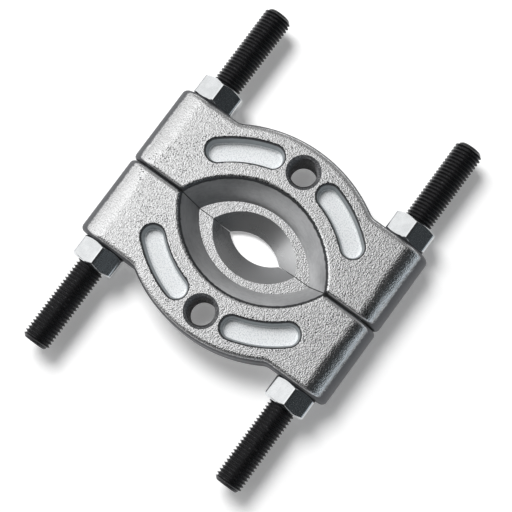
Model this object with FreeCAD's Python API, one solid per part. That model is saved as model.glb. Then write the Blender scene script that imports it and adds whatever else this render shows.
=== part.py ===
import FreeCAD, Part
import math
import os
from FreeCAD import Vector

# A clamshell bearing separator lies on its flat side: +Z is up, X runs along the split between the two
# jaws and the studs run along Y. The origin is on the underside, in the middle of the opening. Sizes are
# in millimetres.

# Studs and nuts
stud_diameter = 16.0
stud_length = 220.0
stud_end_chamfer = 2.0
nut_across_flats = 24.0
nut_height = 13.0
nut_face_diameter = 22.5
nut_chamfer_angle = 30.0
nut_bore_clearance = 0.05
nut_mouth_chamfer = 0.5

# Jaw body
jaw_thickness = 28.0
ear_depth = 47.0
ear_end_margin = 17.0
closed_gap = 0.4
nut_side_clearance = 6.2
crown_corner_radius = 8.0
cast_edge_radius = 3.0
split_edge_radius = 2.6
stud_bore_clearance = 0.5
stud_bore_chamfer = 0.8

# Dish turned into the jaws, about an axis that stands behind the split face
turning_setback = 20.5
dish_mouth_radius = 51.0
dish_wall_run = 9.4
dish_lip_radius = 2.2
land_height = 6.5
bevel_radius = 29.7
bevel_setback = 12.4
opening_radius = 23.0
opening_setback = 16.3
opening_edge_height = 0.8

# Threaded puller hole and the cast pockets beside it, all on one circle about the turning axis
mouth_wall = 14.5
crown_wall = 14.5
puller_thread_diameter = 16.0
puller_mouth_chamfer = 1.5
pocket_width = 13.2
pocket_depth = 8.0
pocket_wall_inset = 1.8
pocket_floor_radius = 1.2
pocket_rim_radius = 1.0
pocket_start_angle = 16.0
pocket_end_angle = 42.0

dish_foot_radius = dish_mouth_radius - dish_wall_run
pocket_circle_radius = dish_mouth_radius + mouth_wall
crown_radius = pocket_circle_radius + crown_wall
crown_half_width = math.sqrt(crown_radius ** 2 - (ear_depth + turning_setback) ** 2)
nut_corner_radius = nut_across_flats / math.sqrt(3)
stud_offset = crown_half_width + nut_side_clearance + nut_corner_radius
ear_reach = stud_offset + ear_end_margin
stud_height = jaw_thickness / 2
stud_radius = stud_diameter / 2
puller_hole_radius = puller_thread_diameter / 2
cut_margin = 5.0
touch_tolerance = 0.01

along_x = Vector(1, 0, 0)
along_y = Vector(0, 1, 0)
along_z = Vector(0, 0, 1)


def closed_face(edges):
    return Part.Face(Part.Wire(edges))


def span(edge):
    box = edge.BoundBox
    return box.XLength, box.YLength, box.ZLength


def middle(edge):
    return edge.valueAt((edge.FirstParameter + edge.LastParameter) / 2)


def mouth_cone(centre, axis, bore_radius, mouth_radius):
    # A 45 degree countersink that opens at the centre point and narrows to the bore along the axis
    depth = mouth_radius - bore_radius
    start = centre - axis * cut_margin
    lead = Part.makeCylinder(mouth_radius, cut_margin, start, axis)
    return lead.fuse(Part.makeCone(mouth_radius, bore_radius, depth, centre, axis))


def ear_bar():
    # The bar across both studs, with a full round at each end
    round_radius = jaw_thickness / 2
    round_centre = ear_reach - round_radius
    corners = [Vector(x, 0, z) for z in (0, jaw_thickness) for x in (-round_centre, round_centre)]
    low_left, low_right, high_left, high_right = corners
    right_tip = Vector(ear_reach, 0, round_radius)
    left_tip = Vector(-ear_reach, 0, round_radius)
    profile = closed_face([
        Part.LineSegment(low_left, low_right).toShape(),
        Part.Arc(low_right, right_tip, high_right).toShape(),
        Part.LineSegment(high_right, high_left).toShape(),
        Part.Arc(high_left, left_tip, low_left).toShape(),
    ])
    return profile.extrude(along_y * ear_depth)


def crown():
    # The round middle of the jaw that stands out beyond the ears' nut faces
    root = ear_depth - cast_edge_radius
    disc = Part.makeCylinder(crown_radius, jaw_thickness, Vector(0, -turning_setback, 0))
    beyond_ears = Part.makeBox(2 * crown_radius, crown_radius, jaw_thickness, Vector(-crown_radius, root, 0))
    return disc.common(beyond_ears)


def rounded_blank():
    blank = ear_bar().fuse(crown()).removeSplitter()
    corners = [edge for edge in blank.Edges
               if abs(middle(edge).y - ear_depth) < touch_tolerance and max(span(edge)[:2]) < touch_tolerance]
    blank = blank.makeFillet(crown_corner_radius, corners)
    outer = [edge for edge in blank.Edges
             if edge.BoundBox.YMin > ear_depth - touch_tolerance and max(span(edge)[:2]) > touch_tolerance]
    blank = blank.makeFillet(cast_edge_radius, outer)
    split = [edge for edge in blank.Edges if edge.BoundBox.YMax < touch_tolerance]
    return blank.makeFillet(split_edge_radius, split)


def dish_web():
    # Keeps the underside square to the split face below the dish, where the cast rounding stops
    half_width = math.sqrt(dish_mouth_radius ** 2 - turning_setback ** 2)
    return Part.makeBox(2 * half_width, 2 * split_edge_radius, land_height, Vector(-half_width, 0, 0))


def dish():
    # Turned profile from the land up the steep bevel to a rounded cast lip at the mouth
    rise = jaw_thickness - land_height
    slope = math.atan2(rise, dish_mouth_radius - dish_foot_radius)
    tangent = dish_lip_radius * math.tan(slope / 2)
    lip_start = Vector(dish_mouth_radius - tangent * math.cos(slope), 0, jaw_thickness - tangent * math.sin(slope))
    lip_end = Vector(dish_mouth_radius + tangent, 0, jaw_thickness)
    lip_centre = Vector(lip_end.x, 0, jaw_thickness - dish_lip_radius)
    lip_middle = lip_centre + Vector(-math.sin(slope / 2), 0, math.cos(slope / 2)) * dish_lip_radius
    top = jaw_thickness + cut_margin
    points = [Vector(0, 0, land_height), Vector(dish_foot_radius, 0, land_height), lip_start]
    edges = [Part.LineSegment(a, b).toShape() for a, b in zip(points, points[1:])]
    edges.append(Part.Arc(lip_start, lip_middle, lip_end).toShape())
    closing = [lip_end, Vector(lip_end.x, 0, top), Vector(0, 0, top), points[0]]
    edges += [Part.LineSegment(a, b).toShape() for a, b in zip(closing, closing[1:])]
    turned = closed_face(edges).revolve(Vector(0, 0, 0), along_z, 360)
    turned.translate(Vector(0, -turning_setback, 0))
    return turned


def opening():
    # The inner bevel runs down from the land to a thin edge, each rim an arc about its own centre
    def ring(radius, setback, height):
        return Part.Wire(Part.makeCircle(radius, Vector(0, -setback, height), along_z))

    bevel_top = ring(bevel_radius, bevel_setback, land_height)
    bevel_foot = ring(opening_radius, opening_setback, opening_edge_height)
    bevel = Part.makeLoft([bevel_foot, bevel_top], True, True)
    edge = Part.makeCylinder(opening_radius, opening_edge_height + cut_margin,
                             Vector(0, -opening_setback, -cut_margin))
    return bevel.fuse(edge)


def puller_hole():
    # A plain bore at the thread's major diameter, countersunk at both ends
    centre = Vector(0, pocket_circle_radius - turning_setback, 0)
    top = centre + along_z * jaw_thickness
    bore = Part.makeCylinder(puller_hole_radius, jaw_thickness, centre, along_z)
    mouth_radius = puller_hole_radius + puller_mouth_chamfer
    lower = mouth_cone(centre, along_z, puller_hole_radius, mouth_radius)
    upper = mouth_cone(top, along_z * -1, puller_hole_radius, mouth_radius)
    return bore.fuse([lower, upper])


def pocket():
    # A curved trough with drafted walls and full-round ends, sunk from the top face
    half_rim = pocket_width / 2
    half_floor = half_rim - pocket_wall_inset
    floor_height = jaw_thickness - pocket_depth
    grown = half_rim + pocket_wall_inset * cut_margin / pocket_depth
    section = [
        Vector(pocket_circle_radius - half_floor, 0, floor_height),
        Vector(pocket_circle_radius + half_floor, 0, floor_height),
        Vector(pocket_circle_radius + grown, 0, jaw_thickness + cut_margin),
        Vector(pocket_circle_radius - grown, 0, jaw_thickness + cut_margin),
    ]
    trough = Part.Face(Part.makePolygon(section + section[:1]))
    trough = trough.revolve(Vector(0, 0, 0), along_z, pocket_end_angle - pocket_start_angle)
    trough.rotate(Vector(0, 0, 0), along_z, 90 - pocket_end_angle)
    ends = []
    for angle in (pocket_start_angle, pocket_end_angle):
        turn = math.radians(90 - angle)
        foot = Vector(math.cos(turn), math.sin(turn), 0) * pocket_circle_radius + along_z * floor_height
        ends.append(Part.makeCone(half_floor, grown, pocket_depth + cut_margin, foot, along_z))
    sunk = trough.fuse(ends).removeSplitter()
    floor_edges = [edge for edge in sunk.Edges if edge.BoundBox.ZMax < floor_height + touch_tolerance]
    sunk = sunk.makeFillet(pocket_floor_radius, floor_edges)
    sunk.translate(Vector(0, -turning_setback, 0))
    return sunk


def with_pocket(body, trough):
    # The top face rolls over into each pocket with a small cast radius
    sunk = body.cut(trough)
    rim = [edge for edge in sunk.Edges
           if edge.BoundBox.ZMin > jaw_thickness - touch_tolerance
           and trough.BoundBox.isInside(edge.BoundBox)]
    return sunk.makeFillet(pocket_rim_radius, rim)


def stud_bore():
    radius = stud_radius + stud_bore_clearance
    centre = Vector(stud_offset, 0, stud_height)
    nut_side = centre + along_y * ear_depth
    bore = Part.makeCylinder(radius, ear_depth, centre, along_y)
    front = mouth_cone(centre, along_y, radius, radius + stud_bore_chamfer)
    back = mouth_cone(nut_side, along_y * -1, radius, radius + stud_bore_chamfer)
    return bore.fuse([front, back])


def both_sides(shape):
    return [shape, shape.mirror(Vector(0, 0, 0), along_x)]


def jaw():
    body = rounded_blank().fuse(dish_web()).removeSplitter()
    cuts = [dish(), opening(), puller_hole()] + both_sides(stud_bore())
    body = body.cut(cuts)
    for trough in both_sides(pocket()):
        body = with_pocket(body, trough)
    body.translate(along_y * (closed_gap / 2))
    return body


def stud(x):
    low = Vector(x, -stud_length / 2, stud_height)
    shank = Part.makeCylinder(stud_radius, stud_length, low, along_y)
    ends = [edge for edge in shank.Edges if span(edge)[1] < touch_tolerance]
    return shank.makeChamfer(stud_end_chamfer, ends)


def nut():
    # A hexagon nut on the Y axis with its inner face at the origin and a corner up. The prism is trimmed
    # by a turned ring, which gives both faces their chamfer and the bore its two countersunk mouths.
    angles = [math.radians(60 * step + 30) for step in range(7)]
    outline = [Vector(nut_corner_radius * math.cos(turn), 0, nut_corner_radius * math.sin(turn))
               for turn in angles]
    prism = Part.Face(Part.makePolygon(outline)).extrude(along_y * nut_height)
    face_radius = nut_face_diameter / 2
    bore_radius = stud_radius + nut_bore_clearance
    mouth_radius = bore_radius + nut_mouth_chamfer
    drop = (nut_corner_radius - face_radius) * math.tan(math.radians(nut_chamfer_angle))
    profile = [
        Vector(mouth_radius, 0, 0),
        Vector(face_radius, 0, 0),
        Vector(nut_corner_radius, drop, 0),
        Vector(nut_corner_radius, nut_height - drop, 0),
        Vector(face_radius, nut_height, 0),
        Vector(mouth_radius, nut_height, 0),
        Vector(bore_radius, nut_height - nut_mouth_chamfer, 0),
        Vector(bore_radius, nut_mouth_chamfer, 0),
    ]
    turned = Part.Face(Part.makePolygon(profile + profile[:1])).revolve(Vector(0, 0, 0), along_y, 360)
    return prism.common(turned)


def half_turn(shape):
    turned = shape.copy()
    turned.rotate(Vector(0, 0, 0), along_z, 180)
    return turned


rear_jaw = jaw()
rear_nut = nut()
nut_seat = ear_depth + closed_gap / 2
parts = {
    "rear_jaw": rear_jaw,
    "front_jaw": half_turn(rear_jaw),
    "left_stud": stud(-stud_offset),
    "right_stud": stud(stud_offset),
}
for side, x in (("left", -stud_offset), ("right", stud_offset)):
    placed = rear_nut.copy()
    placed.translate(Vector(x, nut_seat, stud_height))
    parts["rear_" + side + "_nut"] = placed
    opposite = rear_nut.copy()
    opposite.translate(Vector(-x, nut_seat, stud_height))
    parts["front_" + side + "_nut"] = half_turn(opposite)

os.makedirs("parts", exist_ok=True)
for name, shape in parts.items():
    solids = shape.Solids
    print(name, "solids", len(solids), "valid", shape.isValid(), "volume", round(shape.Volume))
    solids[0].exportStep("parts/" + name + ".step")
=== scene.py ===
import bpy
import math
from mathutils import Euler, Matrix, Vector


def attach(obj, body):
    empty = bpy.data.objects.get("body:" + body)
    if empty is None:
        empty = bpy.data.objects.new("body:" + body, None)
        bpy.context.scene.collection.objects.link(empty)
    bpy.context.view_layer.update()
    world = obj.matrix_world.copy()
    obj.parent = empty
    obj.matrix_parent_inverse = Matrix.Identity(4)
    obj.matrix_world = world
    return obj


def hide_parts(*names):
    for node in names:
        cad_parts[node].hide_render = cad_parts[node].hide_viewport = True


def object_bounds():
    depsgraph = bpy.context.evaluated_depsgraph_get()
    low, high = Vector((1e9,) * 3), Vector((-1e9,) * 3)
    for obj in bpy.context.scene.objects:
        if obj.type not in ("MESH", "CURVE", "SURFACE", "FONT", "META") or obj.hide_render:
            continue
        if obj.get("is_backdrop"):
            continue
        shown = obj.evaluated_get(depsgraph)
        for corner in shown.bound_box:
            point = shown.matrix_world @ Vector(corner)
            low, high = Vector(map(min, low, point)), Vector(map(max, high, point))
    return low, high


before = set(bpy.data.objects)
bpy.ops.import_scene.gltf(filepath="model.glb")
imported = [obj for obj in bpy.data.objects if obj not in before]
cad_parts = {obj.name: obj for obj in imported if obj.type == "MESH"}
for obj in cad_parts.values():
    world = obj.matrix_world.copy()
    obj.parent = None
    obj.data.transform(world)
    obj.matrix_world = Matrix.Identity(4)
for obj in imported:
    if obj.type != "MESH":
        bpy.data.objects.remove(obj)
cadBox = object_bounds()
scene = bpy.context.scene
fullTurn = 2 * math.pi
print("frame loaded:", len(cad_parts), "solids")


class Flow:
    # wraps one socket of a node tree; the operators add Math nodes
    def __init__(self, tree, socket=None):
        self.tree = tree
        self.socket = socket

    def node(self, kind, values=None, output=0, **settings):
        made = self.tree.nodes.new(kind)
        for name, value in settings.items():
            setattr(made, name, value)
        for key, value in (values or {}).items():
            if isinstance(value, Flow):
                self.tree.links.new(value.socket, made.inputs[key])
            else:
                made.inputs[key].default_value = value
        return Flow(self.tree, made.outputs[output] if made.outputs else None)

    def also(self, output):
        return Flow(self.tree, self.socket.node.outputs[output])

    def maths(self, operation, *values):
        return self.node("ShaderNodeMath", dict(enumerate(values)), operation=operation)

    def __add__(self, other):
        return self.maths("ADD", self, other)

    def __radd__(self, other):
        return self.maths("ADD", other, self)

    def __sub__(self, other):
        return self.maths("SUBTRACT", self, other)

    def __rsub__(self, other):
        return self.maths("SUBTRACT", other, self)

    def __mul__(self, other):
        return self.maths("MULTIPLY", self, other)

    def __truediv__(self, other):
        return self.maths("DIVIDE", self, other)

    def __mod__(self, other):
        return self.maths("FLOORED_MODULO", self, other)

    def __gt__(self, other):
        return self.maths("GREATER_THAN", self, other)

    def __lt__(self, other):
        return self.maths("LESS_THAN", self, other)

    def __abs__(self):
        return self.maths("ABSOLUTE", self)

    def least(self, other):
        return self.maths("MINIMUM", self, other)

    def most(self, other):
        return self.maths("MAXIMUM", self, other)

    def within(self, low, high):
        return (self > low) * (self < high)

    def toward(self, other, share):
        # this value where the share is 0, the other where it is 1
        return self + share * (other - self)

    def ease(self, low, high):
        # rises smoothly from 0 at low to 1 at high
        return self.node("ShaderNodeMapRange", {"Value": self, "From Min": low, "From Max": high},
                         interpolation_type="SMOOTHSTEP")

    def fade(self, low, high, share=1):
        # falls smoothly from 1 at low, by the share, at high
        return 1 - self.ease(low, high) * share

    def tint(self, first, second):
        # first colour where this is 0, second where it is 1
        return self.node("ShaderNodeMix", {0: self, 6: first, 7: second}, 2, data_type="RGBA")


def splitVector(flow, vector):
    x = flow.node("ShaderNodeSeparateXYZ", {0: vector})
    return x, x.also("Y"), x.also("Z")


# studs, nuts and puller threads are turned about an axis

socketKinds = {int: "NodeSocketInt", float: "NodeSocketFloat", Vector: "NodeSocketVector"}
# metric thread: the shares of the pitch that the crest, each flank and the root take up
crestShare, flankShare, rootShare = 1 / 8, 5 / 16, 1 / 4
# rows that start this many turns early reach the end of the piece at every angle
leadTurns = 2
weldGap = 0.000004
sharpAngle = 25


def newTree(name, sizes):
    # each size becomes a named input of the tree
    tree = bpy.data.node_groups.new(name, "GeometryNodeTree")
    face = tree.interface
    face.new_socket("Geometry", in_out="OUTPUT", socket_type="NodeSocketGeometry")
    face.new_socket("Geometry", in_out="INPUT", socket_type="NodeSocketGeometry")
    for label, value in sizes.items():
        socket = face.new_socket(label, in_out="INPUT", socket_type=socketKinds[type(value)])
        socket.default_value = value
    face.new_socket("Finish", in_out="INPUT", socket_type="NodeSocketMaterial")
    start = tree.nodes.new("NodeGroupInput")
    return Flow(tree), {label: Flow(tree, start.outputs[label]) for label in [*sizes, "Finish"]}


def threadRows(flow, length, pitch, extra):
    # four rows for each turn of the thread, and a few more for the ends
    turns = flow.maths("CEIL", length / pitch) + (leadTurns + 1)
    return turns * 4 + extra


def turnedGrid(flow, around, rows):
    # a flat grid whose columns become angles about the axis and whose rows follow the profile
    grid = flow.node("GeometryNodeMeshGrid", {"Size X": 1.0, "Size Y": 1.0,
                                              "Vertices X": around + 1, "Vertices Y": rows})
    x, y, _ = splitVector(flow, flow.node("GeometryNodeInputPosition"))
    row = flow.maths("ROUND", (y + 0.5) * (rows - 1))
    return grid, (x + 0.5) * fullTurn, row


def helixCorner(flow, corner, angle, size):
    # height of one of the four corners that each pitch of the thread has
    quarter = corner % 4
    part = (quarter > 0.5) * crestShare + (quarter > 1.5) * flankShare + (quarter > 2.5) * rootShare
    turn = flow.maths("FLOOR", corner / 4)
    early = leadTurns + crestShare / 2
    return (turn + part + angle / fullTurn - early) * size["Pitch"] + size["Phase"]


def threadRadius(flow, crest, height, angle, size):
    # falls from the crest to the root of the thread
    place = (height - size["Phase"]) / size["Pitch"] - angle / fullTurn + 0.5
    fall = ((abs(place % 1 - 0.5) - crestShare / 2) * (1 / flankShare)).most(0).least(1)
    return crest - size["Thread depth"] * size["Pitch"] * fall


def closeTurned(flow, grid, radius, height, angle, size):
    spot = flow.node("ShaderNodeCombineXYZ", {0: radius * flow.maths("SINE", angle), 1: height,
                                              2: radius * flow.maths("COSINE", angle)})
    moved = flow.node("GeometryNodeSetPosition", {"Geometry": grid, "Position": spot})
    joined = flow.node("GeometryNodeMergeByDistance", {"Geometry": moved, "Distance": weldGap})
    placed = flow.node("GeometryNodeTransform", {"Geometry": joined, "Translation": size["Place"],
                                                 "Rotation": size["Turn"]})
    real = flow.node("GeometryNodeRealizeInstances", {"Geometry": placed})
    done = flow.node("GeometryNodeSetMaterial", {"Geometry": real, "Material": size["Finish"]})
    flow.node("NodeGroupOutput", {"Geometry": done})
    return flow.tree


def growPiece(name, tree, sizes, finish):
    piece = bpy.data.objects.new(name, bpy.data.meshes.new(name))
    scene.collection.objects.link(piece)
    shape = piece.modifiers.new("Shape", "NODES")
    shape.node_group = tree
    given = {**sizes, "Finish": finish}
    for item in tree.interface.items_tree:
        if item.in_out == "INPUT" and item.name in given:
            shape[item.identifier] = given[item.name]
    bpy.context.view_layer.update()
    grown = piece.evaluated_get(bpy.context.evaluated_depsgraph_get())
    mesh = bpy.data.meshes.new_from_object(grown)
    piece.modifiers.remove(shape)
    piece.data = mesh
    mesh.name = name
    mesh.shade_smooth()
    mesh.set_sharp_from_angle(angle=math.radians(sharpAngle))
    return piece


# lengths are in metres and thread depths in pitches
stud = {"Radius": 0.008, "Length": 0.220, "End chamfer": 0.002, "Pitch": 0.002, "Thread depth": 0.6134,
        "Phase": 0.0, "Around": 64, "Place": Vector((0, 0, 0)), "Turn": Vector((0, 0, 0))}


def threadedStud():
    flow, size = newTree("Threaded stud", stud)
    length, radius = size["Length"], size["Radius"]
    rows = threadRows(flow, length, size["Pitch"], 2)
    grid, angle, row = turnedGrid(flow, size["Around"], rows)
    height = helixCorner(flow, row - 1, angle, size).most(0).least(length)
    thread = threadRadius(flow, radius, height, angle, size)
    inset = radius - size["End chamfer"]
    cut = thread.least(inset + height).least(inset + length - height)
    onBody = (row > 0.5) * (row < rows - 1.5)
    return closeTurned(flow, grid, cut * onBody, height, angle, size)


nut = {"Across flats": 0.024, "Height": 0.013, "Face diameter": 0.0225, "Corner radius": 0.0136,
       "Corner blend": 0.0004, "Chamfer slope": math.tan(math.radians(30)), "Edge": 0.00018,
       "Edge slope": 0.577, "Corner angle": 0.0, "Mouth radius": 0.00855, "Bore radius": 0.00805,
       "Thread depth": 0.5413, "Pitch": 0.002, "Phase": 0.0, "Around": 144,
       "Place": Vector((0, 0, 0)), "Turn": Vector((0, 0, 0))}


def hexNut():
    flow, size = newTree("Hex nut", nut)
    top, edge, mouth = size["Height"], size["Edge"], size["Mouth radius"]
    rows = threadRows(flow, top, size["Pitch"], 10)
    grid, angle, row = turnedGrid(flow, size["Around"], rows)
    fromFlat = (angle - size["Corner angle"]) % (fullTurn / 6) - fullTurn / 12
    flat = size["Across flats"] / 2 / flow.maths("COSINE", fromFlat)
    rim = flow.maths("SMOOTH_MIN", flat, size["Corner radius"], size["Corner blend"])
    face = size["Face diameter"] / 2
    drop = (rim - face) * size["Chamfer slope"]
    lift = edge * size["Edge slope"]
    profile = [(mouth, 0), (face, 0), (rim - edge, drop - lift), (rim, drop + edge),
               (rim, top - drop - edge), (rim - edge, top - drop + lift), (face, top), (mouth, top)]
    # the thread runs back down the bore, which closes the shell
    height = helixCorner(flow, rows - 3 - row, angle, size).most(0).least(top)
    thread = threadRadius(flow, size["Bore radius"], height, angle, size)
    radius = thread.most(mouth - height).most(mouth - top + height)
    for step, (reach, rise) in enumerate(profile):
        here = abs(row - step) < 0.5
        radius = radius.toward(reach, here)
        height = height.toward(rise, here)
    last = row > rows - 1.5
    return closeTurned(flow, grid, radius.toward(mouth, last), height * (1 - last), angle, size)


pullerThread = {"Radius": 0.00799, "Length": 0.025, "Wall": 0.0003, "Thread depth": 0.5413, "Pitch": 0.0015,
                "Phase": 0.0, "Around": 72, "Place": Vector((0, 0, 0)), "Turn": Vector((math.pi / 2, 0, 0))}


def threadedBore():
    flow, size = newTree("Threaded bore", pullerThread)
    length, root = size["Length"], size["Radius"]
    rows = threadRows(flow, length, size["Pitch"], 3)
    grid, angle, row = turnedGrid(flow, size["Around"], rows)
    height = helixCorner(flow, rows - 2 - row, angle, size).most(0).least(length)
    thread = threadRadius(flow, root, height, angle, size)
    radius = thread.most(root - height).most(root - length + height)
    # the outer wall runs from the first row to the second, and the last row closes the shell
    first, second, last = row < 0.5, abs(row - 1) < 0.5, row > rows - 1.5
    radius = radius.toward(root + size["Wall"], (row < 1.5) + last)
    height = (height * (1 - first) * (1 - last)).toward(length, second)
    return closeTurned(flow, grid, radius, height, angle, size)


# the finishes of the cast jaws, the studs, the nuts and the puller threads

def emptyTree(block):
    block.use_nodes = True
    block.node_tree.nodes.clear()
    return Flow(block.node_tree)


def newFinish(name):
    material = bpy.data.materials.new(name)
    flow = emptyTree(material)
    return material, flow, flow.node("ShaderNodeTexCoord", output="Object")


def closeFinish(flow, surface):
    shader = flow.node("ShaderNodeBsdfPrincipled", surface)
    flow.node("ShaderNodeOutputMaterial", {"Surface": shader})


def noise(flow, place, scale, detail=2.0, roughness=0.5):
    values = {"Vector": place, "Scale": scale, "Detail": detail, "Roughness": roughness}
    return flow.node("ShaderNodeTexNoise", values, "Fac")


def bump(flow, height, distance):
    return flow.node("ShaderNodeBump", {"Height": height, "Distance": distance}, "Normal")


def farness(flow, across, along):
    return flow.maths("SQRT", across * across + along * along)


# the flank, rim, pocket wall and split face colours are painted shade, darker than the metal itself
casting = {
    "bright": (0.79, 0.792, 0.796, 1), "pit": (0.64, 0.642, 0.646, 1), "flank": (0.145, 0.148, 0.156, 1),
    "rim": (0.09, 0.092, 0.096, 1), "pocket": (0.96, 0.98, 0.99, 1), "pocket grain": (0.74, 0.77, 0.79, 1),
    "pocket wall shade": (0.42, 0.445, 0.46, 1), "split face": (0.22, 0.222, 0.226, 1),
    "turned": (0.66, 0.664, 0.67, 1), "turned groove": (0.41, 0.414, 0.422, 1), "bevel": (0.60, 0.603, 0.61, 1),
    "grain scale": 1450.0, "coarse scale": 420.0, "wander scale": 60.0, "grain depth": 0.00019,
    "grain edge": (0.25, 0.60), "pocket grain edge": (0.35, 0.55), "flank shade edge": (0.69, 0.80),
    "smear edge": (0.45, 0.9), "grain fade": (0.72, 0.97), "lathe pitches": (7000, 900), "lathe depth": 0.08,
    "cast rough": 0.17, "turned rough": 0.29, "split rough": 0.45, "roll width": 0.0045, "roll": 0.0005,
    "dish rim slope": 0.88, "pocket rim slope": 0.95}
# where the jaws' surfaces lie, from part.py, in metres
spots = {
    "split": 0.0002, "split skin": 0.00005, "dish centre": 0.0205, "dish foot": 0.0416,
    "dish slope": 0.0094 / 0.0215, "wall skin": 0.0004, "land": 0.0065, "land skin": 0.0001,
    "lip height": 0.0258, "lip wobble": 0.002, "bevel centre": 0.0124, "bevel radius": 0.0299,
    "bevel heights": (0.0008, 0.00642), "pocket band": (0.0583, 0.0727), "pocket heights": (0.012, 0.0275),
    "pocket side": 0.012, "pocket floor": 0.0212, "dish rim": 0.0525, "pocket rim": (0.0565, 0.0745),
    "pocket rim side": 0.011, "pocket rim depth": 0.003, "rim foot": 0.0262,
    "crown radius": 0.080, "ear depth": 0.047, "ear top": 0.069,
    "stud offset": 0.0629953, "stud height": 0.014, "nut seat": 0.0472,
    "puller hole": 0.0452, "puller thread foot": 0.0015}


def castJaw():
    material, flow, place = newFinish("Plated casting")
    x, y, z = splitVector(flow, place)
    depth = abs(y) - spots["split"]
    fromAxis = farness(flow, x, depth + spots["dish centre"])
    fromBevel = farness(flow, x, depth + spots["bevel centre"])
    upright = abs(splitVector(flow, place.also("Normal"))[2])
    grain = noise(flow, place, casting["grain scale"], 1.0, 0.6)
    coarse = noise(flow, place, casting["coarse scale"])
    wander = noise(flow, place, casting["wander scale"])
    uneven = grain - 0.5
    # the flanks, where the faces turn away from level, get painted shade: a darker colour that stands in for
    # the dark reflections of the sides
    unshadedLevel = (upright + uneven * 0.16 + (coarse - 0.5) * 0.08).ease(*casting["flank shade edge"])
    colour = grain.ease(*casting["grain edge"]).tint(casting["pit"], casting["bright"])
    colour = unshadedLevel.tint(casting["flank"], colour)

    # pale painted troughs of the pockets, and their walls, coloured darker as painted shade in the recess
    pocket = fromAxis.within(*spots["pocket band"]) * z.within(*spots["pocket heights"])
    pocket = pocket * (abs(x) > spots["pocket side"])
    trough = pocket * (z < spots["pocket floor"])
    cheekShade = pocket * (z > spots["pocket floor"]) * (z + uneven * 0.002 < spots["rim foot"])
    paint = grain.ease(*casting["pocket grain edge"]).tint(casting["pocket grain"], casting["pocket"])
    colour = cheekShade.tint(trough.tint(colour, paint), casting["pocket wall shade"])

    # the rounded rims of the dish and the pockets get painted shade, a darker colour with an uneven edge that
    # stands in for their dark reflections
    slope = upright + uneven * 0.3
    dishRimShade = (fromAxis < spots["dish rim"]) * (slope < casting["dish rim slope"])
    pocketRimShade = fromAxis.within(*spots["pocket rim"]) * (slope < casting["pocket rim slope"])
    pocketRimShade = pocketRimShade * (abs(x) > spots["pocket rim side"]) * (depth > spots["pocket rim depth"])
    rim = dishRimShade.most(pocketRimShade) * (z > spots["rim foot"])
    colour = rim.tint(colour, casting["rim"])

    # the dish wall and the bevel are turned, with tool marks round them
    outside = fromAxis - spots["dish foot"] - (z - spots["land"]) * spots["dish slope"]
    wall = (outside < spots["wall skin"]) * (z > spots["land"] + spots["land skin"])
    wall = wall * (z < spots["lip height"] + (coarse - 0.5) * spots["lip wobble"])
    bevel = (fromBevel < spots["bevel radius"]) * z.within(*spots["bevel heights"])
    machined = wall.most(bevel)
    marks = [measure * pitch for measure, pitch in zip((z, fromAxis), casting["lathe pitches"])]
    lathe = noise(flow, flow.node("ShaderNodeCombineXYZ", {0: marks[0], 1: marks[1]}), 1.0, 3.0)
    smear = (lathe * 0.6 + coarse * 0.25 + wander * 0.5).ease(*casting["smear edge"])
    turned = smear.tint(casting["turned groove"], casting["turned"])
    colour = machined.tint(colour, bevel.tint(turned, casting["bevel"]))
    # the parting faces between the jaws get painted shade, a dark colour that stands in for the dark gap
    shadedParting = (abs(depth) < spots["split skin"]) * (upright < 0.5)
    colour = shadedParting.tint(colour, casting["split face"])

    rough = casting["cast rough"] + wander * 0.08 + trough * 0.12 + (1 - unshadedLevel) * 0.38
    rough = rough.toward(casting["turned rough"] - bevel * 0.03 + smear * 0.06, machined)
    rough = rough.toward(casting["split rough"], shadedParting)

    # the cast faces fall away a little before they meet the rounded edges
    fromEarEdge = (spots["ear depth"] - depth).least(spots["ear top"] - abs(x))
    edge = (spots["crown radius"] - fromAxis).most(fromEarEdge)
    edge = edge.ease(-casting["roll width"], casting["roll width"]) * casting["roll"]
    relief = grain * (1 - machined.most(shadedParting)) * (0.5 + upright.ease(*casting["grain fade"]) * 0.5)
    relief = (relief + lathe * machined * casting["lathe depth"]) * casting["grain depth"] + edge
    closeFinish(flow, {"Base Color": colour, "Metallic": 1 - trough * 0.7 - (1 - unshadedLevel) * 0.3,
                       "Roughness": rough, "Normal": bump(flow, relief, 1.0)})
    return material


# thread in the puller holes, coloured dark as painted shade for the inside of the holes
holeShade = {"colour": (0.10, 0.10, 0.105, 1), "worn": (0.20, 0.20, 0.205, 1), "wear edge": (0.3, 0.7),
         "scale": 1400.0, "metal": 1.0}
blackOxide = {"colour": (0.034, 0.034, 0.036, 1), "worn": (0.13, 0.13, 0.135, 1), "wear edge": (0.55, 0.8),
              "scale": 900.0, "metal": 0.8, "bump": 0.00002}
zinc = {"colour": (0.74, 0.755, 0.765, 1), "shade": (0.63, 0.645, 0.655, 1), "shade edge": (0.3, 0.7),
        "cloud scale": 240.0, "fine scale": 2600.0, "bump": 0.00002}


def darkSteel(name, look):
    material, flow, place = newFinish(name)
    mottle = noise(flow, place, look["scale"], 3.0)
    surface = {"Base Color": mottle.ease(*look["wear edge"]).tint(look["colour"], look["worn"]),
               "Metallic": look["metal"], "Roughness": 0.3 + mottle * 0.15}
    if "bump" in look:
        surface["Normal"] = bump(flow, mottle, look["bump"])
    closeFinish(flow, surface)
    return material


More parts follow.
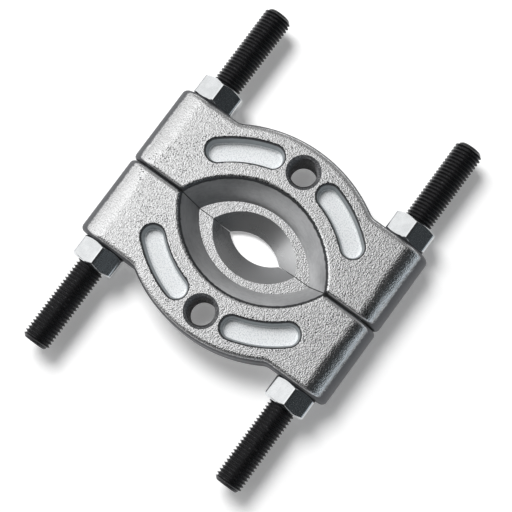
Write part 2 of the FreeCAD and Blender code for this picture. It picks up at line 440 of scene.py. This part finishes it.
def nutSteel():
    material, flow, place = newFinish("Zinc plated steel")
    cloud = noise(flow, place, zinc["cloud scale"], 3.0)
    fine = noise(flow, place, zinc["fine scale"])
    colour = (cloud * 0.6 + fine * 0.4).ease(*zinc["shade edge"]).tint(zinc["shade"], zinc["colour"])
    closeFinish(flow, {"Base Color": colour, "Metallic": 1.0, "Roughness": 0.09 + fine * 0.10,
                       "Normal": bump(flow, cloud + fine * 0.3, zinc["bump"])})
    return material


jawFinish, nutFinish = castJaw(), nutSteel()
boreFinish = darkSteel("Thread with painted hole shade", holeShade)
studFinish = darkSteel("Black oxide steel", blackOxide)
for jaw in ("rear_jaw", "front_jaw"):
    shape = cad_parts[jaw].data
    shape.materials.clear()
    shape.materials.append(jawFinish)
print("finishes made")

# studs, nuts and puller threads in their places

studTree, nutTree, boreTree = threadedStud(), hexNut(), threadedBore()
# where each nut stopped when it was run up to its jaw, in degrees past corner up
nutAngles = {"rearLeft": 3.0, "rearRight": 0.0, "frontLeft": 6.0, "frontRight": 0.0}
for side, sign in (("left", -1), ("right", 1)):
    across, studStart = sign * spots["stud offset"], -stud["Length"] / 2
    start = Vector((across, studStart, spots["stud height"]))
    piece = growPiece(side + "Stud", studTree, {"Place": start}, studFinish)
    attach(piece, side + "_stud")
    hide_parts(side + "_stud")
    for end, low in (("rear", spots["nut seat"]), ("front", -spots["nut seat"] - nut["Height"])):
        label = end + side.capitalize()
        piece = growPiece(label + "Nut", nutTree, {
            "Place": Vector((across, low, spots["stud height"])),
            "Corner angle": math.radians(nutAngles[label]),
            "Phase": (studStart - low) % nut["Pitch"]}, nutFinish)
        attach(piece, f"{end}_{side}_nut")
        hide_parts(f"{end}_{side}_nut")
print("studs and nuts made")

for end, sign in (("rear", 1), ("front", -1)):
    start = Vector((0, sign * spots["puller hole"], spots["puller thread foot"]))
    piece = growPiece(end + "PullerThread", boreTree, {"Place": start}, boreFinish)
    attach(piece, end + "_jaw")
print("puller hole threads made")

# the bench, the studio round it and the camera

bench = {"size": 8, "height": -0.003, "colour": (0.82, 0.82, 0.82, 1), "seen colour": (0.96, 0.96, 0.96, 1),
         "seen glow": 0.20}
bpy.ops.mesh.primitive_plane_add(size=bench["size"], location=(0, 0, bench["height"]))
floor = bpy.context.object
floor.name = "floor"
floor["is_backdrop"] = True
paper = bpy.data.materials.new("Pale floor")
flow = emptyTree(paper)
seen = flow.node("ShaderNodeLightPath", output="Is Camera Ray")
seen = seen.most(seen.also("Is Glossy Ray")).most(seen.also("Is Transmission Ray"))
plain = flow.node("ShaderNodeBsdfDiffuse", {"Color": bench["colour"]})
shown = flow.node("ShaderNodeAddShader", {
    0: flow.node("ShaderNodeBsdfDiffuse", {"Color": bench["seen colour"]}),
    1: flow.node("ShaderNodeEmission", {"Color": (1, 1, 1, 1), "Strength": bench["seen glow"]})})
mixed = flow.node("ShaderNodeMixShader", {0: seen, 1: plain, 2: shown})
# from below, the floor lets the underside show
below = flow.node("ShaderNodeNewGeometry", output="Backfacing")
mixed = flow.node("ShaderNodeMixShader", {0: below, 1: mixed, 2: flow.node("ShaderNodeBsdfTransparent")})
flow.node("ShaderNodeOutputMaterial", {"Surface": mixed})
floor.data.materials.append(paper)

# directions in the studio run from -1 to 1 along each axis, and 1 is white
studio = {"bright": 1.4, "dark": 0.04, "strip": 0.85, "walls": 0.3, "front wall": 0.4, "on bench": 0.5,
          "front lean": 0.72, "rear lean": 0.24, "panel place": 0.032, "panel edge": (-0.06, 0.11),
          "panel rise": (0.0, 0.2), "panel rear": (0.15, 0.45), "panel far": (-0.3, -0.9),
          "strip foot": (0.04, 0.28), "strip top": (0.35, 0.47), "strip right": (0.3, 0.8),
          "wall rise": (0.34, 0.52), "wall rear": (0.36, 0.62), "wall front": (-0.36, -0.62),
          "wall right": (0.35, 0.6), "white": (1, 1, 1, 1), "cool": (0.84, 0.93, 1, 1)}
world = bpy.data.worlds.new("Studio")
scene.world = world
flow = emptyTree(world)
x, y, z = splitVector(flow, flow.node("ShaderNodeTexCoord", output="Generated"))
# a tall white wall on the left that leans over the bench, with a hard front edge and a soft rear one
panel = y.least(0) * studio["front lean"] - y.most(0) * studio["rear lean"] - x + studio["panel place"]
panel = panel.ease(*studio["panel edge"]) * y.fade(*studio["panel rear"], 0.7)
panel = panel * z.ease(*studio["panel rise"]) * x.fade(*studio["panel far"], 0.18)
# a soft glow all round above the bench
strip = z.ease(*studio["strip foot"]) * z.fade(*studio["strip top"])
strip = strip * (x.ease(*studio["strip right"]) * 0.5 + 0.5)
# a grey wall behind the bench and a darker one in front
walls = y.ease(*studio["wall rear"]) * x.fade(*studio["wall right"])
walls = (walls + y.ease(*studio["wall front"]) * studio["front wall"]) * z.ease(*studio["wall rise"])
glow = (panel * studio["bright"]).most(strip * studio["strip"]).most(walls * studio["walls"])
glow = glow.most(studio["dark"])
# most of the light on the bench is the lamp's, which keeps the shadow's edge clear
onBench = flow.node("ShaderNodeLightPath", output="Is Diffuse Ray")
glow = glow * (1 - onBench * studio["on bench"])
tone = x.ease(*studio["strip right"]).tint(studio["white"], studio["cool"])
sky = flow.node("ShaderNodeBackground", {"Color": tone, "Strength": glow})
flow.node("ShaderNodeOutputWorld", {"Surface": sky})

# the lamp's glow is the brightness of its face, on the scale where 1 is white
key = {"place": (-0.83, 0.45, 1.85), "side": 0.8, "glow": 18.0}
keyLamp = bpy.data.objects.new("keyLamp", bpy.data.lights.new("keyLamp", "AREA"))
scene.collection.objects.link(keyLamp)
keyLamp.data.size = key["side"]
keyLamp.data.energy = key["glow"] * math.pi * key["side"] ** 2
keyLamp.location = key["place"]
keyLamp.rotation_euler = (-Vector(key["place"])).to_track_quat("-Z", "Y").to_euler()
keyLamp.visible_camera = False
keyLamp.visible_glossy = False

view = {"place": (0.09036, -0.07702, 0.76875), "turn": (8.28, 1.964, 36.307), "lens": 101.23}
camera = bpy.data.objects.new("camera", bpy.data.cameras.new("camera"))
scene.collection.objects.link(camera)
camera.location = view["place"]
camera.rotation_euler = Euler([math.radians(angle) for angle in view["turn"]])
camera.data.lens = view["lens"]
camera.data.clip_start = 0.01
scene.camera = camera
scene.view_settings.view_transform = "Standard"
print("stage made")

cadBox, visualBox = [[list(corner) for corner in box] for box in (cadBox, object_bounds())]
